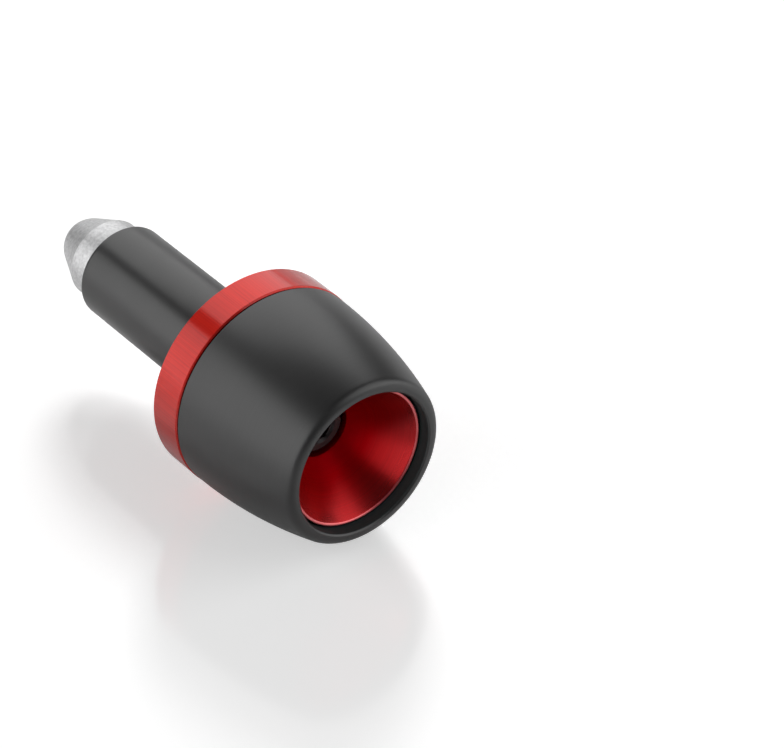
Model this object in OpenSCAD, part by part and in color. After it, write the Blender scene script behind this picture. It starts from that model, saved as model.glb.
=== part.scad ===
// Bar end weight with an expanding plug, for the open end of a handlebar.
// Every piece is turned about one axis, which lies along X. The mouth of the
// weight points to +X and the plug to -X. The origin is the centre of the
// collar ring's back face, which seats on the end of the bar.

/* [Collar ring] */
// Outer diameter of the collar ring
ring_d = 38; // [34:0.5:46]
// Width of the collar ring
ring_w = 6.6; // [4:0.1:12]
// Chamfer on the outer edges of the ring
ring_chamfer = 0.25; // [0.1:0.05:1]
// Diameter of the spigot that centres the ring in the barrel
spigot_d = 24; // [16:0.5:26]
// Length of that spigot
spigot_l = 1.5; // [0.8:0.1:2.5]
// Gap between the spigot's end and the floor of its recess
spigot_gap = 0.3; // [0.1:0.05:0.5]
// Depth of the recess in the ring's back face that seats the sleeve
sleeve_seat = 1; // [0.5:0.1:2]
// Gap round the sleeve in that recess, on the radius
sleeve_seat_gap = 0.2; // [0.1:0.05:0.4]

/* [Barrel] */
// Length of the barrel, from the ring to the plane of the mouth
barrel_l = 26.1; // [22:0.1:40]
// How far the back edge of the barrel lies below the ring, on the radius
barrel_drop = 0.1; // [0:0.05:1]
// Radius of the arc that the side follows
side_arc_r = 90; // [60:1:300]
// Rounding of the lip on its outer side
lip_round = 1.7; // [0.5:0.1:2]
// Chamfer on the inner edge of the lip
lip_inner_chamfer = 0.3; // [0.1:0.05:0.5]
// Thickness of the web that the screw clamps, between the spigot and the insert
web_t = 3; // [2:0.1:5]
// Diameter of the bore behind the lip
mouth_d = 26.2; // [24:0.1:28]
// Width of the groove between the ring and the barrel
groove_w = 0.35; // [0.2:0.05:1]
// Depth of that groove
groove_depth = 1; // [0.4:0.1:2]

/* [Funnel insert] */
// How far the rim of the funnel lies behind the mouth
rim_recess = 2.1; // [0.5:0.1:4]
// Diameter of the funnel at its rim
rim_d = 24.6; // [20:0.1:24.8]
// Width of the flat land on the rim
rim_land = 0.2; // [0.1:0.05:0.3]
// Gap between the rim and the bore
rim_gap = 0.35; // [0.2:0.05:0.6]
// Length of the thinner part of the insert, behind the rim
rim_relief_l = 6; // [3:0.5:8]
// Thickness of the insert's floor under the screw head
floor_t = 3; // [2:0.1:5]
// Gap between the insert and the bore
insert_gap = 0.05; // [0.02:0.01:0.15]
// Chamfer at the back edge of the insert
insert_chamfer = 0.5; // [0.2:0.1:1]

/* [Clamp screw] */
// Diameter of the screw's shank
screw_d = 6; // [5:1:8]
// Length of the screw under its head
screw_l = 55; // [50:1:58]
// Diameter of the head
head_d = 10; // [8.5:0.5:13]
// Height of the head
head_h = 6; // [5:0.5:8]
// Chamfer round the top of the head
head_chamfer = 0.6; // [0.3:0.1:1]
// Chamfer at the tip of the shank
point_chamfer = 0.8; // [0.4:0.1:1.2]
// Width across the flats of the hex socket
hex_af = 5; // [4:1:6]
// Depth of the hex socket
hex_depth = 3; // [2:0.5:4]
// Depth of the head below the edge of its hole
head_recess = 0.4; // [0:0.1:2]
// Gap round the head in its hole, on the radius
head_gap = 0.2; // [0.1:0.05:0.6]
// Gap round the shank where it passes through a plate, on the radius
pass_gap = 0.3; // [0.1:0.05:0.6]

/* [Expander sleeve] */
// Diameter of the rubber sleeve
sleeve_d = 17.5; // [15:0.1:20]
// Length of the rubber sleeve that stands out of the ring
sleeve_l = 36.7; // [34:0.1:40]
// Chamfer on the outer edge of the sleeve at its tail, and its lead into the ring
sleeve_chamfer = 0.3; // [0.1:0.05:1]
// Gap round the shank in the sleeve, on the radius
sleeve_gap = 0.6; // [0.3:0.1:1]
// How far the sleeve's widened mouth runs on past the end of the nut
taper_room = 1; // [0.5:0.1:2]

/* [Cone nut] */
// Diameter of the nut's cylindrical band
band_d = 14.8; // [13:0.1:15]
// Length of the band that stands out of the sleeve
band_l = 4.9; // [2:0.1:6]
// Half angle of the tail cone
tail_angle = 23; // [15:1:30]
// Radius of the rounded nose
nose_r = 5.3; // [4.5:0.1:6]
// Length of the taper that enters the sleeve
taper_l = 9.5; // [7:0.5:12]
// Diameter of the taper at its small end
taper_d = 9.6; // [9:0.1:12]
// Gap between the taper and the sleeve's mouth, before it is tightened
taper_gap = 0.3; // [0.1:0.05:0.5]
// Running gap between the screw and the nut's thread, on the radius
thread_gap = 0.05; // [0.02:0.01:0.08]
// Countersink at the ends of the threaded hole
nut_sink = 0.4; // [0.2:0.1:0.6]

/* [Hidden] */
$fn = 96;
side_fn = 720;
eps = 0.01;
// How far a cutting shape runs past what it cuts
over = 2;

// Stations along the axis. The funnel's depth is what is left between the screw
// head, which is stacked up from the web, and the rim, which follows the mouth.
mouth_x = ring_w + barrel_l;
rim_x = mouth_x - rim_recess;
web_x = ring_w + spigot_l + spigot_gap;
floor_x = web_x + web_t;
seat_x = floor_x + floor_t;
head_top_x = seat_x + head_h;
hole_x = head_top_x + head_recess;
tip_x = seat_x - screw_l;
tail_x = -sleeve_l;
band_x = tail_x - band_l;

// Radii that more than one piece shares
ring_r = ring_d / 2;
back_r = ring_r - barrel_drop;
mouth_r = mouth_d / 2;
shank_r = screw_d / 2;
pass_r = shank_r + pass_gap;
head_hole_r = head_d / 2 + head_gap;
band_r = band_d / 2;
spigot_r = spigot_d / 2;
sleeve_r = sleeve_d / 2;

// The rim's ring-shaped parts, outwards from the funnel
rim_r = rim_d / 2;
rim_crest_r = rim_r + rim_land;
rim_outer_r = mouth_r - rim_gap;
insert_r = mouth_r - insert_gap;

// The side of the barrel is one arc that leaves the ring parallel to the axis
side_centre_r = back_r - side_arc_r;
lip_centre_x = mouth_x - lip_round;
lip_centre_r = side_centre_r
    + sqrt(pow(side_arc_r - lip_round, 2) - pow(lip_centre_x - ring_w, 2));
lip_angle = asin((lip_centre_x - ring_w) / (side_arc_r - lip_round));

// The nose is a ball that the tail cone meets as a tangent
nose_join_r = nose_r * cos(tail_angle);
tail_l = (band_r - nose_join_r) / tan(tail_angle);
nose_centre_x = band_x - tail_l + nose_r * sin(tail_angle);
nose_join_x = nose_centre_x - nose_r * sin(tail_angle);
nose_tip_x = nose_centre_x - nose_r;
// Where the threaded hole breaks out of the nose
nose_end_x = nose_centre_x - sqrt(pow(nose_r, 2) - pow(shank_r + thread_gap, 2));

// Turns a profile drawn as [radius, station] about the X axis
module turned() {
    rotate([0, 90, 0]) rotate_extrude() children();
}

// A hole or pin along X between two stations
module round_x(r, x0, x1) {
    translate([x0, 0, 0]) rotate([0, 90, 0]) cylinder(r = r, h = x1 - x0);
}

// A tapered hole or plug along X between two stations
module taper_x(r0, r1, x0, x1) {
    translate([x0, 0, 0]) rotate([0, 90, 0]) cylinder(r1 = r0, r2 = r1, h = x1 - x0);
}

module collar_ring() {
    recess_r = sleeve_r + sleeve_seat_gap;
    color("firebrick") difference() {
        turned() polygon([
            [0, sleeve_seat],
            [recess_r, sleeve_seat],
            [recess_r, 0],
            [ring_r - ring_chamfer, 0],
            [ring_r, ring_chamfer],
            [ring_r, ring_w - ring_chamfer],
            [ring_r - ring_chamfer, ring_w],
            [spigot_r, ring_w],
            [spigot_r, ring_w + spigot_l - ring_chamfer],
            [spigot_r - ring_chamfer, ring_w + spigot_l],
            [0, ring_w + spigot_l]
        ]);
        round_x(pass_r, sleeve_seat - eps, ring_w + spigot_l + eps);
    }
}

// Outline of the barrel without its holes
module barrel_outline() {
    reach = lip_round + over;
    difference() {
        intersection() {
            translate([side_centre_r, ring_w]) circle(r = side_arc_r, $fn = side_fn);
            translate([0, ring_w]) square([ring_r, barrel_l]);
        }
        // The outer corner of the lip, cut back to its rounding
        difference() {
            polygon([
                [lip_centre_r, lip_centre_x],
                [lip_centre_r, mouth_x + over],
                [ring_r + over, mouth_x + over],
                [lip_centre_r + reach * cos(lip_angle), lip_centre_x + reach * sin(lip_angle)]
            ]);
            translate([lip_centre_r, lip_centre_x]) circle(r = lip_round);
        }
        // The groove beside the ring
        translate([back_r - groove_depth, ring_w - eps])
            square([groove_depth + over, groove_w + eps]);
    }
}

module barrel_weight() {
    register_r = spigot_r + insert_gap;
    color([0.2, 0.2, 0.21]) difference() {
        turned() barrel_outline();
        round_x(register_r, ring_w - eps, web_x);
        round_x(pass_r, web_x - eps, floor_x + eps);
        round_x(mouth_r, floor_x, mouth_x + eps);
        taper_x(mouth_r, mouth_r + lip_inner_chamfer + eps,
                mouth_x - lip_inner_chamfer, mouth_x + eps);
    }
}

module funnel_insert() {
    relief_x = rim_x - rim_relief_l;
    color("red") turned() polygon([
        [pass_r, floor_x],
        [insert_r - insert_chamfer, floor_x],
        [insert_r, floor_x + insert_chamfer],
        [insert_r, relief_x],
        [rim_outer_r, relief_x],
        [rim_outer_r, rim_x - (rim_outer_r - rim_crest_r)],
        [rim_crest_r, rim_x],
        [rim_r, rim_x],
        [head_hole_r, hole_x],
        [head_hole_r, seat_x],
        [pass_r, seat_x]
    ]);
}

module clamp_screw() {
    head_r = head_d / 2;
    hex_r = hex_af / (2 * cos(30));
    color([0.12, 0.12, 0.13]) difference() {
        turned() polygon([
            [0, tip_x],
            [shank_r - point_chamfer, tip_x],
            [shank_r, tip_x + point_chamfer],
            [shank_r, seat_x],
            [head_r, seat_x],
            [head_r, head_top_x - head_chamfer],
            [head_r - head_chamfer, head_top_x],
            [0, head_top_x]
        ]);
        translate([head_top_x - hex_depth, 0, 0])
            rotate([0, 90, 0]) cylinder(r = hex_r, h = hex_depth + eps, $fn = 6);
    }
}

module expander_sleeve() {
    bore_r = shank_r + sleeve_gap;
    throat_r = taper_d / 2 + taper_gap;
    throat_x = tail_x + taper_l;
    color([0.17, 0.17, 0.17]) turned() polygon([
        [bore_r, sleeve_seat],
        [sleeve_r - sleeve_chamfer, sleeve_seat],
        [sleeve_r, 0],
        [sleeve_r, tail_x + sleeve_chamfer],
        [sleeve_r - sleeve_chamfer, tail_x],
        [band_r + taper_gap, tail_x],
        [throat_r, throat_x],
        [throat_r, throat_x + taper_room],
        [bore_r, throat_x + taper_room]
    ]);
}

module cone_nut() {
    bore_r = shank_r + thread_gap;
    front_x = tail_x + taper_l;
    color([0.75, 0.75, 0.76]) difference() {
        turned() union() {
            polygon([
                [0, nose_join_x],
                [nose_join_r, nose_join_x],
                [band_r, band_x],
                [band_r, tail_x],
                [taper_d / 2, front_x],
                [0, front_x]
            ]);
            intersection() {
                translate([0, nose_centre_x]) circle(r = nose_r);
                translate([0, nose_tip_x]) square([nose_r, nose_r]);
            }
        }
        round_x(bore_r, nose_tip_x - eps, front_x + eps);
        // Countersinks at both ends of the thread
        taper_x(bore_r, bore_r + nut_sink + eps, front_x - nut_sink, front_x + eps);
        taper_x(bore_r + nut_sink + eps, bore_r, nose_end_x - eps, nose_end_x + nut_sink);
    }
}

collar_ring();
barrel_weight();
funnel_insert();
clamp_screw();
expander_sleeve();
cone_nut();
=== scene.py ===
# Bar end weight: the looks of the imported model, piece by piece.
import math

import bmesh
import bpy
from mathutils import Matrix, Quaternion, Vector


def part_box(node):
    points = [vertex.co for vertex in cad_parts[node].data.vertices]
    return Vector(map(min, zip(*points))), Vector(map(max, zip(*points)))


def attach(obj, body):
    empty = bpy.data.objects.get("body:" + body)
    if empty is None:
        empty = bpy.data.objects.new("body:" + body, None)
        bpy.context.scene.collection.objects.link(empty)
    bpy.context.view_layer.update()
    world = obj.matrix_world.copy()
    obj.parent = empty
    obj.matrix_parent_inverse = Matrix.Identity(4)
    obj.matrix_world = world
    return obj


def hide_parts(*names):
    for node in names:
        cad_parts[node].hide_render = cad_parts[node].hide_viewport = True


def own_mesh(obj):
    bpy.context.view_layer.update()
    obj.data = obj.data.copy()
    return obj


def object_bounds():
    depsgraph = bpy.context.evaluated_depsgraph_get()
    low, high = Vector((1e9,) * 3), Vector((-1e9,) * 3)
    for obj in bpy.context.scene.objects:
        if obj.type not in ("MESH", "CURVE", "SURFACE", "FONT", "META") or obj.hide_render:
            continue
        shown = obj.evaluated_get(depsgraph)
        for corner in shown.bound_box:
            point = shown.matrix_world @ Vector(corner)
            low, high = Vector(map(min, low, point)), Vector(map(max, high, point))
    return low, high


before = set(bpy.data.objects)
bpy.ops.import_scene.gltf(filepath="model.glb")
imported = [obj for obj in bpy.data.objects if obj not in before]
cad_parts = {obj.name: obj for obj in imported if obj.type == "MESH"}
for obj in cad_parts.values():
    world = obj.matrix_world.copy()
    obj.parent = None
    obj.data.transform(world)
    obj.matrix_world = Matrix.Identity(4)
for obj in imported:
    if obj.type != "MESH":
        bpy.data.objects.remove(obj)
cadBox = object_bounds()

mm = 0.001
allNodes = ["collar_ring", "barrel_weight", "funnel_insert", "clamp_screw", "expander_sleeve", "cone_nut"]
low = {node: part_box(node)[0] / mm for node in allNodes}    # corners of each node, in mm
high = {node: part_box(node)[1] / mm for node in allNodes}

# The camera looks from where the photo was taken, towards a point beside the weight.
cameraSpot = {
    "azimuth": 50.79,
    "elevation": 35.12,
    "roll": 2.19,
    "distance": 585.5,
    "target": (15.32, 18.96, 0.16),
    "lens": 160.7,
}

# Corners are drawn as arcs, with a spare edge beside each so that the flats stay flat.
turning = {
    "segments": 256,
    "cornerSteps": 4,
    "support": 0.6,
    "room": 0.85,     # the part of a side that a spare edge may take
    "mergeDistance": 0.0005,
    "sharpAngle": 40,
}


def directionTo(spot):
    # From the weight towards a camera or a lamp; azimuth 0 is in front, 90 at the right.
    azimuth, elevation = math.radians(spot["azimuth"]), math.radians(spot["elevation"])
    return Vector((
        math.sin(azimuth) * math.cos(elevation),
        -math.cos(azimuth) * math.cos(elevation),
        math.sin(elevation),
    ))


def addCamera():
    back = directionTo(cameraSpot)
    data = bpy.data.cameras.new("photoCamera")
    data.lens = cameraSpot["lens"]
    data.sensor_width = 36
    data.clip_start = 0.01
    data.dof.use_dof = False
    camera = bpy.data.objects.new("photoCamera", data)
    bpy.context.scene.collection.objects.link(camera)
    camera.location = Vector(cameraSpot["target"]) * mm + back * cameraSpot["distance"] * mm
    roll = Quaternion((0, 0, 1), math.radians(cameraSpot["roll"]))
    camera.rotation_euler = ((-back).to_track_quat("-Z", "Y") @ roll).to_euler()
    bpy.context.scene.camera = camera


# Noise seldom leaves this span, so it is stretched from here to the full one.
noiseSpan = (0.3, 0.7)


# Shader helpers
def newMaterial(name):
    material = bpy.data.materials.new(name)
    material.use_nodes = True
    nodes = material.node_tree.nodes
    return material, nodes, material.node_tree.links, nodes["Principled BSDF"]


def newGroup(name, kind, inputs, outputs):
    tree = bpy.data.node_groups.new(name, kind)
    for label, socketType, value in inputs:
        socket = tree.interface.new_socket(label, in_out="INPUT", socket_type=socketType)
        if value is not None:
            socket.default_value = value
    for label, socketType in outputs:
        tree.interface.new_socket(label, in_out="OUTPUT", socket_type=socketType)
    return tree, tree.nodes.new("NodeGroupInput"), tree.nodes.new("NodeGroupOutput")


def mathNode(tree, operation, first, second=None, third=None):
    node = tree.nodes.new("ShaderNodeMath")
    node.operation = operation
    for slot, value in enumerate((first, second, third)):
        if value is None:
            continue
        if isinstance(value, (int, float)):
            node.inputs[slot].default_value = value
        else:
            tree.links.new(value, node.inputs[slot])
    return node.outputs[0]


def mapRangeNode(tree, value, fromMin, fromMax):
    node = tree.nodes.new("ShaderNodeMapRange")
    node.inputs["From Min"].default_value = fromMin
    node.inputs["From Max"].default_value = fromMax
    tree.links.new(value, node.inputs["Value"])
    return node


# Tool marks: noise in object space, stretched along the axis or round it.
def makeGrainGroup():
    tree, given, result = newGroup(
        "toolMarks", "ShaderNodeTree",
        [("Along", "NodeSocketFloat", 1.0), ("Across", "NodeSocketFloat", 1.0),
         ("Detail", "NodeSocketFloat", 2.0)],
        [("Marks", "NodeSocketFloat")],
    )
    place = tree.nodes.new("ShaderNodeTexCoord")
    split = tree.nodes.new("ShaderNodeSeparateXYZ")
    tree.links.new(place.outputs["Object"], split.inputs[0])
    join = tree.nodes.new("ShaderNodeCombineXYZ")
    along = mathNode(tree, "MULTIPLY", split.outputs["X"], given.outputs["Along"])
    tree.links.new(along, join.inputs["X"])
    for axis in "YZ":
        across = mathNode(tree, "MULTIPLY", split.outputs[axis], given.outputs["Across"])
        tree.links.new(across, join.inputs[axis])
    noise = tree.nodes.new("ShaderNodeTexNoise")
    noise.inputs["Scale"].default_value = 1.0
    noise.inputs["Roughness"].default_value = 0.6
    tree.links.new(join.outputs[0], noise.inputs["Vector"])
    tree.links.new(given.outputs["Detail"], noise.inputs["Detail"])
    tree.links.new(noise.outputs["Fac"], result.inputs["Marks"])
    return tree


# Cloudiness: soft patches that keep a large surface from being one flat tone.
def makeCloudGroup():
    tree, given, result = newGroup(
        "softClouds", "ShaderNodeTree",
        [("Size", "NodeSocketFloat", 200.0), ("Low", "NodeSocketFloat", 0.0),
         ("High", "NodeSocketFloat", 1.0)],
        [("Value", "NodeSocketFloat")],
    )
    place = tree.nodes.new("ShaderNodeTexCoord")
    noise = tree.nodes.new("ShaderNodeTexNoise")
    noise.inputs["Detail"].default_value = 4.0
    tree.links.new(place.outputs["Object"], noise.inputs["Vector"])
    tree.links.new(given.outputs["Size"], noise.inputs["Scale"])
    spread = mapRangeNode(tree, noise.outputs["Fac"], *noiseSpan)
    tree.links.new(given.outputs["Low"], spread.inputs["To Min"])
    tree.links.new(given.outputs["High"], spread.inputs["To Max"])
    tree.links.new(spread.outputs["Result"], result.inputs["Value"])
    return tree


grainGroup = makeGrainGroup()
cloudGroup = makeCloudGroup()


def addGroup(nodes, tree, **values):
    node = nodes.new("ShaderNodeGroup")
    node.node_tree = tree
    for label, value in values.items():
        node.inputs[label].default_value = value
    return node


# The helpers below are given a material's parts: its nodes, its links and its surface.
def addTint(nodes, links, surface, value, look, start=0.0, end=1.0):
    tint = nodes.new("ShaderNodeValToRGB")
    stops = ((start, look["dark"]), (end, look["light"]))
    for element, (position, colour) in zip(tint.color_ramp.elements, stops):
        element.position = position
        element.color = (*colour, 1.0)
    links.new(value, tint.inputs["Fac"])
    links.new(tint.outputs["Color"], surface.inputs["Base Color"])


def addGloss(nodes, links, surface, look):
    smooth, rough = look["roughness"]
    gloss = addGroup(nodes, cloudGroup, Size=look["cloudSize"], Low=smooth, High=rough)
    links.new(gloss.outputs["Value"], surface.inputs["Roughness"])


def addRelief(nodes, links, surface, height, depth):
    relief = nodes.new("ShaderNodeBump")
    relief.inputs["Distance"].default_value = depth * mm
    links.new(height, relief.inputs["Height"])
    links.new(relief.outputs["Normal"], surface.inputs["Normal"])


# One recipe serves the turned surfaces: tool marks tint the colour and cut a fine relief.
def turnedFinish(name, look):
    material, nodes, links, surface = newMaterial(name)
    marks = addGroup(
        nodes, grainGroup, Along=look["along"], Across=look["across"], Detail=look["detail"],
    ).outputs["Marks"]
    addTint(nodes, links, surface, marks, look, *noiseSpan)
    addGloss(nodes, links, surface, look)
    addRelief(nodes, links, surface, marks, look["markDepth"])
    surface.inputs["Metallic"].default_value = look["metallic"]
    surface.inputs["Specular IOR Level"].default_value = look.get("specular", 0.5)
    surface.inputs["Coat Weight"].default_value = look.get("coat", 0.0)
    surface.inputs["Coat Roughness"].default_value = look.get("coatRoughness", 0.1)
    return material


# The tool slows towards the middle of the funnel, so its wall is rougher there; its colour is also
# painted lighter there, as painted light in the deep hollow, and it has a clearer skin at the rim. Depths
# are measured from the rim.
def funnelFinish(name, look):
    material = turnedFinish(name, look)
    tree = material.node_tree
    surface = tree.nodes["Principled BSDF"]
    place = tree.nodes.new("ShaderNodeTexCoord")
    split = tree.nodes.new("ShaderNodeSeparateXYZ")
    tree.links.new(place.outputs["Object"], split.inputs[0])
    rim = high["funnel_insert"].x

    def fading(deepEnd, shallowEnd, deepValue, shallowValue):
        node = mapRangeNode(tree, split.outputs["X"], (rim - deepEnd) * mm, (rim - shallowEnd) * mm)
        node.inputs["To Min"].default_value = deepValue
        node.inputs["To Max"].default_value = shallowValue
        return node.outputs["Result"]

    gloss = surface.inputs["Roughness"].links[0].from_socket
    rougher = fading(look["roughDepth"], 0, look["deepRoughness"], 0)
    tree.links.new(mathNode(tree, "ADD", gloss, rougher), surface.inputs["Roughness"])
    clearer = fading(look["coatDepth"], 0, 0, look["coat"])
    tree.links.new(clearer, surface.inputs["Coat Weight"])
    # Painted light: the base colour turns lighter deep in the funnel, where the hollow gets little light.
    # A colour mix has its factor at socket 0, its colours at 6 and 7 and its result at 2.
    paintedLightMix = tree.nodes.new("ShaderNodeMix")
    paintedLightMix.data_type = "RGBA"
    tree.links.new(fading(look["paintedLightDepth"], look["paintedLightStart"], 1, 0), paintedLightMix.inputs[0])
    tree.links.new(surface.inputs["Base Color"].links[0].from_socket, paintedLightMix.inputs[6])
    paintedLightMix.inputs[7].default_value = (*look["deepPaintedLight"], 1)
    tree.links.new(paintedLightMix.outputs[2], surface.inputs["Base Color"])
    return material


redRingLook = {
    "along": 60.0, "across": 5000.0, "detail": 2.0,
    "dark": (0.57, 0.009, 0.004), "light": (0.73, 0.018, 0.007),
    "cloudSize": 90.0, "roughness": (0.43, 0.49),
    "markDepth": 0.003, "metallic": 1.0, "coat": 0.9, "coatRoughness": 0.14,
}
redFunnelLook = {
    "along": 9000.0, "across": 60.0, "detail": 2.0,
    "dark": (0.44, 0.0003, 0.003), "light": (0.54, 0.0010, 0.004),
    "cloudSize": 120.0, "roughness": (0.22, 0.26),
    "markDepth": 0.0012, "metallic": 1.0, "coat": 0.62, "coatRoughness": 0.25,
    "deepRoughness": 0.26, "roughDepth": 9.0, "coatDepth": 6.5,
    # Painted light: a lighter red for the deep part of the funnel.
    "deepPaintedLight": (0.64, 0.0003, 0.008), "paintedLightStart": 5.0, "paintedLightDepth": 9.5,
}
# Painted highlight: a pale red that stands for the glint on the round edge of the funnel's rim.
paintedRimHighlightLook = {
    "along": 400.0, "across": 400.0, "detail": 2.0,
    "dark": (0.78, 0.12, 0.13), "light": (0.86, 0.18, 0.19),
    "cloudSize": 200.0, "roughness": (0.30, 0.36),
    "markDepth": 0.001, "metallic": 1.0, "coat": 0.6, "coatRoughness": 0.2,
}
blackBarrelLook = {
    "along": 7000.0, "across": 40.0, "detail": 2.0,
    "dark": (0.006, 0.006, 0.0062), "light": (0.010, 0.010, 0.0103),
    "cloudSize": 70.0, "roughness": (0.35, 0.39),
    "markDepth": 0.002, "metallic": 0.0, "specular": 1.0,
}
# Painted light: the bore's black is lighter and cooler than the barrel's, standing for the neutral light
# inside the bore.
paintedLightBoreLook = {
    "along": 7000.0, "across": 40.0, "detail": 2.0,
    "dark": (0.024, 0.036, 0.036), "light": (0.036, 0.052, 0.052),
    "cloudSize": 70.0, "roughness": (0.60, 0.70),
    "markDepth": 0.003, "metallic": 0.0, "specular": 0.4,
}
blackScrewLook = {
    "along": 5000.0, "across": 300.0, "detail": 3.0,
    "dark": (0.008, 0.007, 0.008), "light": (0.018, 0.016, 0.017),
    "cloudSize": 600.0, "roughness": (0.26, 0.36),
    "markDepth": 0.004, "metallic": 0.0, "specular": 0.7,
}
rubberLook = {
    "grain": 9000.0, "detail": 1.0, "grainDepth": 0.0003,
    "dark": (0.010, 0.010, 0.010), "light": (0.015, 0.015, 0.015),
    "toneSize": 130.0, "cloudSize": 390.0, "roughness": (0.30, 0.33), "specular": 1.0,
}
rawNutLook = {
    "dark": (0.62, 0.62, 0.625), "light": (0.84, 0.84, 0.845),
    "patchSize": 1800.0, "dentSize": 2600.0, "dentDepth": 0.02,
    "cloudSize": 2000.0, "roughness": (0.40, 0.56),
}


def rubberFinish(name, look):
    material, nodes, links, surface = newMaterial(name)
    tone = addGroup(nodes, cloudGroup, Size=look["toneSize"])
    addTint(nodes, links, surface, tone.outputs["Value"], look)
    addGloss(nodes, links, surface, look)
    skin = addGroup(nodes, grainGroup, Along=look["grain"], Across=look["grain"], Detail=look["detail"])
    addRelief(nodes, links, surface, skin.outputs["Marks"], look["grainDepth"])
    surface.inputs["Specular IOR Level"].default_value = look["specular"]
    return material


def tumbledFinish(name, look):
    material, nodes, links, surface = newMaterial(name)
    patches = addGroup(nodes, cloudGroup, Size=look["patchSize"])
    addTint(nodes, links, surface, patches.outputs["Value"], look)
    addGloss(nodes, links, surface, look)
    place = nodes.new("ShaderNodeTexCoord")
    dents = nodes.new("ShaderNodeTexVoronoi")
    dents.feature = "SMOOTH_F1"
    dents.inputs["Scale"].default_value = look["dentSize"]
    links.new(place.outputs["Object"], dents.inputs["Vector"])
    addRelief(nodes, links, surface, dents.outputs["Distance"], look["dentDepth"])
    surface.inputs["Metallic"].default_value = 1.0
    return material


materials = {
    "ring": turnedFinish("redAnodisedRing", redRingLook),
    "funnel": funnelFinish("redAnodisedFunnel", redFunnelLook),
    "rim": turnedFinish("paintedRimHighlight", paintedRimHighlightLook),
    "barrel": turnedFinish("blackAnodised", blackBarrelLook),
    "bore": turnedFinish("mattBoreWithPaintedLight", paintedLightBoreLook),
    "screw": turnedFinish("blackenedSteel", blackScrewLook),
    "rubber": rubberFinish("blackRubber", rubberLook),
    "nut": tumbledFinish("bareAluminium", rawNutLook),
}
print("materials made")


# Geometry Nodes: a section is swept round the X axis, once for a turned piece or many
# times, with a pitch, for a thread. The section is a row of points (station, 0, radius).
def makeSweepTree():
    tree, given, result = newGroup(
        "sweepRoundAxis", "GeometryNodeTree",
        [("Section", "NodeSocketGeometry", None), ("Section Points", "NodeSocketInt", 2),
         ("Segments", "NodeSocketInt", 64), ("Turns", "NodeSocketFloat", 1.0),
         ("Pitch", "NodeSocketFloat", 0.0), ("Fade Steps", "NodeSocketFloat", 0.0),
         ("Root Radius", "NodeSocketFloat", 0.0), ("Merge Distance", "NodeSocketFloat", 0.0),
         ("Finish", "NodeSocketMaterial", None)],
        [("Mesh", "NodeSocketGeometry")],
    )
    links = tree.links
    steps = mathNode(tree, "ROUND", mathNode(
        tree, "MULTIPLY", given.outputs["Segments"], given.outputs["Turns"],
    ))
    grid = tree.nodes.new("GeometryNodeMeshGrid")
    links.new(mathNode(tree, "ADD", steps, 1.0), grid.inputs["Vertices X"])
    links.new(given.outputs["Section Points"], grid.inputs["Vertices Y"])

    index = tree.nodes.new("GeometryNodeInputIndex").outputs[0]
    step = mathNode(tree, "FLOOR", mathNode(
        tree, "DIVIDE", mathNode(tree, "ADD", index, 0.5), given.outputs["Section Points"],
    ))
    place = mathNode(tree, "SUBTRACT", index, mathNode(
        tree, "MULTIPLY", step, given.outputs["Section Points"],
    ))
    sample = tree.nodes.new("GeometryNodeSampleIndex")
    sample.data_type = "FLOAT_VECTOR"
    links.new(given.outputs["Section"], sample.inputs["Geometry"])
    links.new(tree.nodes.new("GeometryNodeInputPosition").outputs[0], sample.inputs["Value"])
    links.new(place, sample.inputs["Index"])
    split = tree.nodes.new("ShaderNodeSeparateXYZ")
    links.new(sample.outputs[0], split.inputs[0])

    # A thread's section grows from nearly a point at both ends, where merging closes it.
    tiny = 0.0001
    fromEnd = mathNode(tree, "MINIMUM", step, mathNode(tree, "SUBTRACT", steps, step))
    grown = mathNode(tree, "MINIMUM", 1.0, mathNode(
        tree, "DIVIDE", mathNode(tree, "ADD", fromEnd, tiny),
        mathNode(tree, "MAXIMUM", given.outputs["Fade Steps"], tiny),
    ))
    radius = mathNode(tree, "MULTIPLY_ADD", mathNode(
        tree, "SUBTRACT", split.outputs["Z"], given.outputs["Root Radius"],
    ), grown, given.outputs["Root Radius"])
    turn = mathNode(tree, "DIVIDE", step, given.outputs["Segments"])
    angle = mathNode(tree, "MULTIPLY", turn, math.tau)
    advance = mathNode(tree, "MULTIPLY", turn, given.outputs["Pitch"])
    station = mathNode(tree, "MULTIPLY_ADD", split.outputs["X"], grown, advance)
    join = tree.nodes.new("ShaderNodeCombineXYZ")
    links.new(station, join.inputs["X"])
    links.new(mathNode(tree, "MULTIPLY", radius, mathNode(tree, "COSINE", angle)), join.inputs["Y"])
    links.new(mathNode(tree, "MULTIPLY", radius, mathNode(tree, "SINE", angle)), join.inputs["Z"])

    move = tree.nodes.new("GeometryNodeSetPosition")
    links.new(grid.outputs["Mesh"], move.inputs["Geometry"])
    links.new(join.outputs[0], move.inputs["Position"])
    merge = tree.nodes.new("GeometryNodeMergeByDistance")
    links.new(move.outputs[0], merge.inputs["Geometry"])
    links.new(given.outputs["Merge Distance"], merge.inputs["Distance"])
    finishTree(tree, merge.outputs[0], given, result)
    return tree


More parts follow.
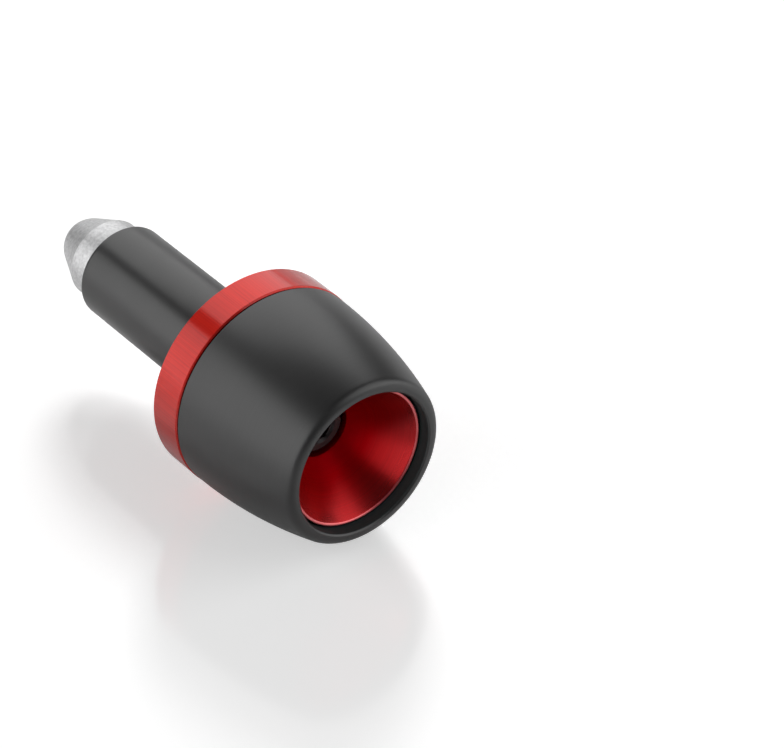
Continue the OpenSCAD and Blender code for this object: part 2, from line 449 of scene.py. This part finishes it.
# Geometry Nodes: one small shape repeated round the X axis.
def makeRepeatTree():
    tree, given, result = newGroup(
        "repeatRoundAxis", "GeometryNodeTree",
        [("Shape", "NodeSocketGeometry", None), ("Count", "NodeSocketInt", 12),
         ("Finish", "NodeSocketMaterial", None)],
        [("Mesh", "NodeSocketGeometry")],
    )
    links = tree.links
    row = tree.nodes.new("GeometryNodeMeshLine")
    row.inputs["Offset"].default_value = (0, 0, 0)
    links.new(given.outputs["Count"], row.inputs["Count"])
    index = tree.nodes.new("GeometryNodeInputIndex").outputs[0]
    angle = mathNode(tree, "MULTIPLY", mathNode(tree, "DIVIDE", index, given.outputs["Count"]), math.tau)
    turn = tree.nodes.new("ShaderNodeCombineXYZ")
    links.new(angle, turn.inputs["X"])
    copies = tree.nodes.new("GeometryNodeInstanceOnPoints")
    links.new(row.outputs[0], copies.inputs["Points"])
    links.new(given.outputs["Shape"], copies.inputs["Instance"])
    links.new(turn.outputs[0], copies.inputs["Rotation"])
    finishTree(tree, copies.outputs[0], given, result)
    return tree


def finishTree(tree, geometry, given, result):
    real = tree.nodes.new("GeometryNodeRealizeInstances")
    tree.links.new(geometry, real.inputs[0])
    paint = tree.nodes.new("GeometryNodeSetMaterial")
    tree.links.new(real.outputs[0], paint.inputs["Geometry"])
    tree.links.new(given.outputs["Finish"], paint.inputs["Material"])
    tree.links.new(paint.outputs[0], result.inputs["Mesh"])


sweepTree = makeSweepTree()
repeatTree = makeRepeatTree()


def runTree(tree, mesh, values):
    # The mesh goes through the tree and comes back as a plain mesh.
    carrier = bpy.data.objects.new("carrier", mesh)
    bpy.context.scene.collection.objects.link(carrier)
    modifier = carrier.modifiers.new("tree", "NODES")
    modifier.node_group = tree
    sockets = {item.name: item.identifier for item in tree.interface.items_tree}
    for label, value in values.items():
        modifier[sockets[label]] = value
    carrier.update_tag()
    evaluated = carrier.evaluated_get(bpy.context.evaluated_depsgraph_get())
    made = bpy.data.meshes.new_from_object(evaluated)
    bpy.data.objects.remove(carrier)
    return made


def pointRow(section):
    mesh = bpy.data.meshes.new("section")
    mesh.from_pydata([(x * mm, 0, r * mm) for x, r in section], [], [])
    return mesh


def sweep(section, finish, segments, turns=1.0, pitch=0.0, fade=0.0, root=0.0):
    return runTree(sweepTree, pointRow(section), {
        "Section Points": len(section), "Segments": segments, "Turns": turns,
        "Pitch": pitch * mm, "Fade Steps": fade, "Root Radius": root * mm,
        "Merge Distance": turning["mergeDistance"] * mm, "Finish": materials[finish],
    })


# Section helpers: points are (station, radius) in mm.
def arcPoints(centre, radius, start, end, steps):
    return [
        (centre[0] + radius * math.cos(start + (end - start) * k / steps),
         centre[1] + radius * math.sin(start + (end - start) * k / steps))
        for k in range(steps + 1)
    ]


def softened(corners, closed=True):
    # Corners are (station, radius, rounding); a plain pair stays sharp.
    points = []
    count = len(corners)
    for i, corner in enumerate(corners):
        here = Vector(corner[:2])
        rounding = corner[2] if len(corner) > 2 else 0
        if not rounding:
            points.append(tuple(here))
            continue
        backSide = Vector(corners[i - 1][:2]) - here
        aheadSide = Vector(corners[(i + 1) % count][:2]) - here
        back, ahead = backSide.normalized(), aheadSide.normalized()
        half = back.angle(ahead) / 2
        reach = rounding / math.tan(half)
        centre = here + (back + ahead).normalized() * rounding / math.sin(half)
        start = here + back * reach - centre
        end = here + ahead * reach - centre
        startAngle = math.atan2(start.y, start.x)
        swing = math.remainder(math.atan2(end.y, end.x) - startAngle, math.tau)
        spare = reach + rounding * turning["support"]
        points.append(tuple(here + back * min(spare, backSide.length * turning["room"])))
        points += arcPoints(centre, rounding, startAngle, startAngle + swing, turning["cornerSteps"])
        points.append(tuple(here + ahead * min(spare, aheadSide.length * turning["room"])))
    if closed:
        points.append(points[0])
    return points


def cleanMesh(mesh):
    shape = bmesh.new()
    shape.from_mesh(mesh)
    bmesh.ops.remove_doubles(shape, verts=shape.verts, dist=turning["mergeDistance"] * mm)
    bmesh.ops.recalc_face_normals(shape, faces=shape.faces)
    for face in shape.faces:
        face.smooth = True
    openEdges = sum(1 for edge in shape.edges if not edge.is_manifold)
    volume = shape.calc_volume(signed=True)
    shape.to_mesh(mesh)
    shape.free()
    return openEdges, volume


def joined(name, parts):
    # Each part is cleaned by itself, so that no two of them are welded together.
    whole = bmesh.new()
    openEdges = 0
    for part in parts:
        loose, volume = cleanMesh(part)
        openEdges += loose
        if volume < 0:
            part.flip_normals()
        whole.from_mesh(part)
    # A tree leaves an empty slot before its finish, so the finish is set anew.
    for face in whole.faces:
        face.material_index = 0
    mesh = bpy.data.meshes.new(name)
    mesh.materials.append(parts[0].materials[-1])
    whole.to_mesh(mesh)
    whole.free()
    mesh.set_sharp_from_angle(angle=math.radians(turning["sharpAngle"]))
    piece = bpy.data.objects.new(name, mesh)
    bpy.context.scene.collection.objects.link(piece)
    print(name, len(mesh.polygons), "faces,", openEdges, "open edges")
    return piece


def place(piece, body, node, slot):
    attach(piece, body)
    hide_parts(node)


# Collar ring
ring = {
    "chamfer": 0.25,
    "edge": 0.06,
    "spigotRadius": 12.0,
    "spigotLength": 1.5,
    "screwHole": 3.3,
    "recessRadius": 8.95,
    "recessDepth": 1.0,
}


def makeRing():
    back, spigotEnd = low["collar_ring"].x, high["collar_ring"].x
    outer = high["collar_ring"].z
    front = spigotEnd - ring["spigotLength"]
    chamfer, edge = ring["chamfer"], ring["edge"]
    section = softened([
        (back + ring["recessDepth"], ring["screwHole"], edge),
        (back + ring["recessDepth"], ring["recessRadius"]),
        (back, ring["recessRadius"], edge),
        (back, outer - chamfer, edge),
        (back + chamfer, outer, edge),
        (front - chamfer, outer, edge),
        (front, outer - chamfer, edge),
        (front, ring["spigotRadius"]),
        (spigotEnd - chamfer, ring["spigotRadius"], edge),
        (spigotEnd, ring["spigotRadius"] - chamfer, edge),
        (spigotEnd, ring["screwHole"], edge),
    ])
    piece = joined("ring", [sweep(section, "ring", turning["segments"])])
    place(piece, "body", "collar_ring", "red_anodised")


# Barrel: its side is one arc that leaves the ring parallel to the axis.
barrel = {
    "drop": 0.1,
    "sideRadius": 90.0,
    "sideSteps": 48,
    "lipRadius": 1.7,
    "lipSteps": 12,
    "lipInnerChamfer": 0.3,
    "boreRadius": 13.1,
    "grooveWidth": 0.35,
    "grooveDepth": 1.0,
    "registerRadius": 12.05,
    "registerDepth": 1.8,
    "webThickness": 3.0,
    "screwHole": 3.3,
    "edge": 0.08,
}


def makeBarrel():
    back, mouth = low["barrel_weight"].x, high["barrel_weight"].x
    backRadius = high["collar_ring"].z - barrel["drop"]
    centreRadius = backRadius - barrel["sideRadius"]
    lip, edge = barrel["lipRadius"], barrel["edge"]
    lipStation = mouth - lip
    lipRise = math.asin((lipStation - back) / (barrel["sideRadius"] - lip))
    lipCentre = centreRadius + (barrel["sideRadius"] - lip) * math.cos(lipRise)
    grooveEnd = back + barrel["grooveWidth"]
    grooveRise = math.asin(barrel["grooveWidth"] / barrel["sideRadius"])
    side = arcPoints(
        (back, centreRadius), barrel["sideRadius"],
        math.pi / 2 - grooveRise, math.pi / 2 - lipRise, barrel["sideSteps"],
    )
    lipArc = arcPoints((lipStation, lipCentre), lip, math.pi / 2 - lipRise, 0, barrel["lipSteps"])
    inner = barrel["boreRadius"] + barrel["lipInnerChamfer"]
    register = back + barrel["registerDepth"]
    web = register + barrel["webThickness"]
    section = softened([
        (back, barrel["registerRadius"], edge),
        (back, backRadius - barrel["grooveDepth"]),
        (grooveEnd, backRadius - barrel["grooveDepth"]),
        (*side[0], edge),
        *side[1:], *lipArc[1:],
        (mouth, inner, edge),
        (mouth - barrel["lipInnerChamfer"], barrel["boreRadius"], edge),
        (web, barrel["boreRadius"]),
        (web, barrel["screwHole"], edge),
        (register, barrel["screwHole"], edge),
        (register, barrel["registerRadius"]),
    ])
    piece = joined("barrel", [sweep(section, "barrel", turning["segments"])])
    # The bore isn't polished, so it stays matt inside the shiny lip; its colour is painted light, lighter
    # and cooler than the barrel's.
    piece.data.materials.append(materials["bore"])
    for face in piece.data.polygons:
        if math.hypot(face.center.y, face.center.z) < (barrel["boreRadius"] + edge) * mm:
            face.material_index = 1
    place(piece, "body", "barrel_weight", "black_anodised")


# Funnel insert
funnel = {
    "rimRadius": 12.3,
    "rimLand": 0.3,
    "rimEdge": 0.4,
    "paintedHighlightBand": 0.14,
    "reliefRadius": 12.75,
    "reliefLength": 6.0,
    "backChamfer": 0.5,
    "headHole": 5.2,
    "holeEdge": 9.8,
    "floor": 3.0,
    "screwHole": 3.3,
    "edge": 0.06,
}


def makeFunnel():
    floorBack, rim = low["funnel_insert"].x, high["funnel_insert"].x
    outer = high["funnel_insert"].z
    seat = floorBack + funnel["floor"]
    relief = rim - funnel["reliefLength"]
    crest = funnel["rimRadius"] + funnel["rimLand"]
    chamfer, edge = funnel["backChamfer"], funnel["edge"]
    section = softened([
        (floorBack, funnel["screwHole"], edge),
        (floorBack, outer - chamfer, edge),
        (floorBack + chamfer, outer, edge),
        (relief, outer, edge),
        (relief, funnel["reliefRadius"]),
        (rim - (funnel["reliefRadius"] - crest), funnel["reliefRadius"], edge),
        (rim, crest, edge / 2),
        (rim, funnel["rimRadius"], funnel["rimEdge"]),
        (rim - funnel["holeEdge"], funnel["headHole"], edge),
        (seat, funnel["headHole"]),
        (seat, funnel["screwHole"], edge),
    ])
    piece = joined("funnel", [sweep(section, "funnel", turning["segments"])])
    # A pale colour on the round edge of the rim is a painted highlight, drawn as a pale line.
    piece.data.materials.append(materials["rim"])
    for face in piece.data.polygons:
        if face.center.x > (rim - funnel["paintedHighlightBand"]) * mm:
            face.material_index = 1
    place(piece, "body", "funnel_insert", "red_anodised")


# Thread shared by the screw and the nut
thread = {
    "pitch": 1.0,
    "flank": math.tan(math.radians(30)),
    "crest": 0.06,
    "rootRadius": 2.45,
    "nutCrestRadius": 2.50,
    "sunk": 0.05,
    "segments": 32,
    "fadeTurns": 0.5,
    "tipGap": 0.9,
    "endGap": 0.5,
}


def threadRidge(start, length, foot, tip, finish):
    # foot and tip are radii; a tip inside the foot makes an internal thread.
    crest = thread["crest"]
    half = crest + abs(tip - foot) * thread["flank"]
    sunk = foot - math.copysign(thread["sunk"], tip - foot)
    section = [(-half, sunk), (-crest, tip), (crest, tip), (half, sunk), (-half, sunk)]
    segments = thread["segments"]
    mesh = sweep(
        section, finish, segments, turns=length / thread["pitch"], pitch=thread["pitch"],
        fade=segments * thread["fadeTurns"], root=foot,
    )
    for vertex in mesh.vertices:
        vertex.co.x += start * mm
    return mesh


# Clamp screw
screw = {
    "segments": 96,
    "edge": 0.1,
    "shankRadius": 3.0,
    "threadLength": 24.0,
    "threadRunout": 0.5,
    "pointChamfer": 0.8,
    "underHead": 0.25,
    "headHeight": 6.0,
    "headChamfer": 0.6,
    "headEdge": 0.15,
    "seatChamfer": 0.2,
    "knurlDepth": 0.12,
    "knurlSunk": 0.1,
    "knurlCount": 60,
    "knurlFill": 0.9,      # the part of its pitch that a ridge takes
    "knurlSeatGap": 0.4,
    "knurlTopGap": 0.9,
    "hexFlats": 5.0,
    "hexDepth": 3.0,
    "hexEdge": 0.25,
    "coneSides": 64,
    "coneOverlap": 0.1,    # the cone starts inside the socket's corners
    "cutterRoom": 1.0,     # the cutter stands out of the head
}


def hexCutter(top):
    # The socket with a shallow cone at its mouth, as one shape to cut away.
    corner, edge = screw["hexFlats"] / math.sqrt(3), screw["hexEdge"]
    overlap, room = screw["coneOverlap"], screw["cutterRoom"]
    outside = top + room
    shape = bmesh.new()
    for sides, ends in (
        (6, ((top - screw["hexDepth"], corner), (outside, corner))),
        (screw["coneSides"], ((top - overlap - edge, corner - overlap), (outside, corner + edge + room))),
    ):
        addPrism(shape, [
            [Vector((x, r * math.cos(math.tau * k / sides), r * math.sin(math.tau * k / sides))) * mm
             for k in range(sides)]
            for x, r in ends
        ])
    mesh = meshOf(shape, "socket")
    mesh.materials.append(materials["screw"])
    return mesh


def addPrism(shape, ends):
    # The two ends are loops of points, each closed by a face, with one face a side between.
    lower, upper = [[shape.verts.new(point) for point in loop] for loop in ends]
    shape.faces.new(lower)
    shape.faces.new(upper)
    for k in range(len(lower)):
        after = (k + 1) % len(lower)
        shape.faces.new((lower[k], lower[after], upper[after], upper[k]))


def meshOf(shape, name):
    bmesh.ops.recalc_face_normals(shape, faces=shape.faces)
    mesh = bpy.data.meshes.new(name)
    shape.to_mesh(mesh)
    shape.free()
    return mesh


def carved(mesh, cutter):
    block = bpy.data.objects.new("block", mesh)
    tool = bpy.data.objects.new("tool", cutter)
    for item in (block, tool):
        bpy.context.scene.collection.objects.link(item)
    modifier = block.modifiers.new("cut", "BOOLEAN")
    modifier.operation = "DIFFERENCE"
    modifier.solver = "EXACT"
    modifier.use_self = True
    modifier.object = tool
    evaluated = block.evaluated_get(bpy.context.evaluated_depsgraph_get())
    made = bpy.data.meshes.new_from_object(evaluated)
    for item in (block, tool):
        bpy.data.objects.remove(item)
    return made


def makeScrew():
    tip, top = low["clamp_screw"].x, high["clamp_screw"].x
    headRadius = high["clamp_screw"].z
    seat = top - screw["headHeight"]
    threadEnd = tip + screw["threadLength"]
    core = thread["rootRadius"]
    headBody = headRadius - screw["knurlDepth"]
    chamfer, seatChamfer, edge = screw["headChamfer"], screw["seatChamfer"], screw["edge"]
    section = softened([
        (tip, 0),
        (tip, core - screw["pointChamfer"] / 2, edge),
        (tip + screw["pointChamfer"], core, edge),
        (threadEnd, core, edge),
        (threadEnd + screw["threadRunout"], screw["shankRadius"], edge),
        (seat, screw["shankRadius"], screw["underHead"]),
        (seat, headBody - seatChamfer, edge),
        (seat + seatChamfer, headBody, edge),
        (top - chamfer, headBody, screw["headEdge"]),
        (top, headBody - chamfer, screw["headEdge"]),
        (top, 0),
    ], closed=False)
    head = carved(sweep(section, "screw", screw["segments"]), hexCutter(top))
    ridgeStart = tip + thread["tipGap"]
    ridgeLength = threadEnd - thread["endGap"] - ridgeStart
    ridges = threadRidge(ridgeStart, ridgeLength, core, screw["shankRadius"], "screw")
    piece = joined("screw", [head, ridges, knurl(seat, top, headBody)])
    place(piece, "screw", "clamp_screw", "blackened_steel")


def knurl(seat, top, headBody):
    # One three-sided ridge along the head, repeated round it.
    half = math.pi * headBody / screw["knurlCount"] * screw["knurlFill"]
    foot, crest = headBody - screw["knurlSunk"], headBody + screw["knurlDepth"]
    shape = bmesh.new()
    addPrism(shape, [
        [Vector((x, r, y)) * mm for r, y in ((foot, -half), (foot, half), (crest, 0))]
        for x in (seat + screw["knurlSeatGap"], top - screw["knurlTopGap"])
    ])
    ridge = meshOf(shape, "ridge")
    return runTree(repeatTree, ridge, {"Count": screw["knurlCount"], "Finish": materials["screw"]})


# Expander sleeve
sleeve = {
    "boreRadius": 3.6,
    "frontChamfer": 0.3,
    "tailRound": 0.5,
    "mouthRadius": 7.7,
    "throatRadius": 5.3,
    "throatDepth": 9.5,
    "throatRoom": 1.7,     # the nut gains on the squeezed rubber as it is drawn in
    "edge": 0.1,
    "nutTravel": 4.0,
}


def makeSleeve():
    tail, front = low["expander_sleeve"].x, high["expander_sleeve"].x
    outer = high["expander_sleeve"].z
    edge = sleeve["edge"]
    throat = tail + sleeve["throatDepth"]
    section = softened([
        (front, sleeve["boreRadius"]),
        (front, outer - sleeve["frontChamfer"]),
        (front - ring["recessDepth"], outer),
        (tail, outer, sleeve["tailRound"]),
        (tail, sleeve["mouthRadius"], edge),
        (throat, sleeve["throatRadius"]),
        (throat + sleeve["throatRoom"], sleeve["throatRadius"]),
        (throat + sleeve["throatRoom"], sleeve["boreRadius"]),
    ])
    piece = joined("sleeve", [sweep(section, "rubber", turning["segments"])])
    place(piece, "body", "expander_sleeve", "black_rubber")
    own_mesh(piece)


# Cone nut
nut = {
    "bandLength": 4.9,
    "bandRadius": 7.4,
    "tailAngle": 23.0,
    "noseRadius": 5.3,
    "noseSteps": 16,
    "taperRadius": 4.8,
    "boreRadius": 3.05,
    "sink": 0.4,
    "threadGap": 2.0,
    "edge": 0.12,
}


def makeNut():
    front = high["cone_nut"].x
    tail = low["expander_sleeve"].x
    band = tail - nut["bandLength"]
    slope = math.radians(nut["tailAngle"])
    nose, bore = nut["noseRadius"], nut["boreRadius"]
    joinRadius = nose * math.cos(slope)
    joinStation = band - (nut["bandRadius"] - joinRadius) / math.tan(slope)
    centre = joinStation + nose * math.sin(slope)
    mouthRadius = bore + nut["sink"]
    breakout = math.asin(mouthRadius / nose)
    noseArc = arcPoints((centre, 0), nose, math.pi / 2 + slope, math.pi - breakout, nut["noseSteps"])
    noseEnd = noseArc[-1][0]
    edge = nut["edge"]
    section = softened([
        (front, nut["taperRadius"], edge),
        (tail, nut["bandRadius"]),
        (band, nut["bandRadius"], edge),
        *noseArc[:-1],
        (*noseArc[-1], edge / 2),
        (noseEnd + nut["sink"], bore),
        (front - nut["sink"], bore),
        (front, mouthRadius, edge / 2),
    ])
    # The nut's ridges lie half a pitch from the screw's.
    pitch = thread["pitch"]
    screwStart = low["clamp_screw"].x + thread["tipGap"]
    turns = math.floor((front - nut["threadGap"] - noseEnd) / pitch)
    start = screwStart - pitch * (math.floor((screwStart - noseEnd) / pitch) - 0.5)
    ridges = threadRidge(start, turns * pitch, bore, thread["nutCrestRadius"], "nut")
    piece = joined("nut", [sweep(section, "nut", turning["segments"]), ridges])
    place(piece, "nut", "cone_nut", "bare_aluminium")


# Studio: a white glossy floor, soft boxes and a dark room that the camera doesn't see
studio = {
    "floorRadius": 4.0,
    "floorColour": (0.93, 0.93, 0.93, 1),
    "floorRoughness": 0.12,
    "floorGlowSeen": 0.43,       # for the camera
    "floorGlowMirrored": 0.03,   # in the metal
    "roomRadius": 2.5,
    "roomColour": (0.1, 0.1, 0.1, 1),
    "roomGlow": 0.06,
    "lampDistance": 1.2,
}
# Sizes are width and height in metres. The back left light is a lamp behind a screen: gloss
# shows the wide screen, and the small lamp throws the shadow on the floor.
softBoxes = {
    "frontLeftBox": {"azimuth": -10, "elevation": 20, "size": (2.2, 1.15), "radiance": 1.3},
    "backLeftBox": {
        "azimuth": -114, "elevation": 41, "size": (1.45, 1.1), "radiance": 1.27, "reaches": "gloss",
    },
    "backLeftLamp": {
        "azimuth": -129, "elevation": 32, "size": (0.25, 0.25), "radiance": 36.0, "reaches": "floor",
    },
    "backRightBox": {"azimuth": 134, "elevation": 32, "size": (1.2, 1.1), "radiance": 0.95},
    "lowRightBox": {"azimuth": 146, "elevation": 12, "size": (1.2, 0.55), "radiance": 0.6},
    "frontEdgeBox": {"azimuth": 40, "elevation": 12, "size": (0.38, 0.9), "radiance": 0.13},
    "horizonBox": {"azimuth": -155, "elevation": 6, "size": (3.0, 0.30), "radiance": 0.5},
}


def backdrop(name, shape, material):
    mesh = bpy.data.meshes.new(name)
    shape.to_mesh(mesh)
    shape.free()
    mesh.materials.append(material)
    thing = bpy.data.objects.new(name, mesh)
    bpy.context.scene.collection.objects.link(thing)
    return thing


def addFloor():
    material, nodes, links, surface = newMaterial("whiteFloor")
    surface.inputs["Base Color"].default_value = studio["floorColour"]
    surface.inputs["Roughness"].default_value = studio["floorRoughness"]
    tree = material.node_tree
    ray = nodes.new("ShaderNodeLightPath").outputs
    mirrored = mathNode(tree, "MULTIPLY", ray["Is Glossy Ray"], studio["floorGlowMirrored"])
    glow = mathNode(tree, "MULTIPLY_ADD", ray["Is Camera Ray"], studio["floorGlowSeen"], mirrored)
    surface.inputs["Emission Color"].default_value = (1, 1, 1, 1)
    links.new(glow, surface.inputs["Emission Strength"])
    disc = bmesh.new()
    bmesh.ops.create_circle(disc, cap_ends=True, segments=96, radius=studio["floorRadius"])
    for vertex in disc.verts:
        vertex.co.z = cadBox[0].z
    backdrop("floor", disc, material)


def addLights():
    for name, box in softBoxes.items():
        back = directionTo(box)
        data = bpy.data.lights.new(name, "AREA")
        data.shape = "RECTANGLE"
        data.size, data.size_y = box["size"]
        data.energy = box["radiance"] * math.pi * data.size * data.size_y
        lamp = bpy.data.objects.new(name, data)
        bpy.context.scene.collection.objects.link(lamp)
        lamp.location = back * studio["lampDistance"]
        lamp.rotation_euler = (-back).to_track_quat("-Z", "Y").to_euler()
        reaches = box.get("reaches", "all")
        lamp.visible_diffuse = reaches != "gloss"
        lamp.visible_glossy = reaches != "floor"


def addRoom():
    # The camera looks through it at a white world; metal sees its dark walls.
    material, _, _, surface = newMaterial("darkRoom")
    surface.inputs["Base Color"].default_value = studio["roomColour"]
    surface.inputs["Specular IOR Level"].default_value = 0
    surface.inputs["Emission Color"].default_value = (1, 1, 1, 1)
    surface.inputs["Emission Strength"].default_value = studio["roomGlow"]
    shell = bmesh.new()
    bmesh.ops.create_uvsphere(shell, u_segments=32, v_segments=16, radius=studio["roomRadius"])
    bmesh.ops.reverse_faces(shell, faces=shell.faces)
    room = backdrop("room", shell, material)
    room.visible_camera = False
    room.visible_shadow = False


def addWorld():
    world = bpy.data.worlds.new("whiteRoom")
    world.use_nodes = True
    sky = world.node_tree.nodes["Background"]
    sky.inputs["Color"].default_value = (1, 1, 1, 1)
    sky.inputs["Strength"].default_value = 1.0
    bpy.context.scene.world = world


addCamera()
addFloor()
addLights()
addRoom()
addWorld()
print("camera, floor and lights placed")

for make in (makeRing, makeBarrel, makeFunnel, makeScrew, makeSleeve, makeNut):
    make()
print("pieces made")

scene = bpy.context.scene
scene.view_settings.view_transform = "Standard"
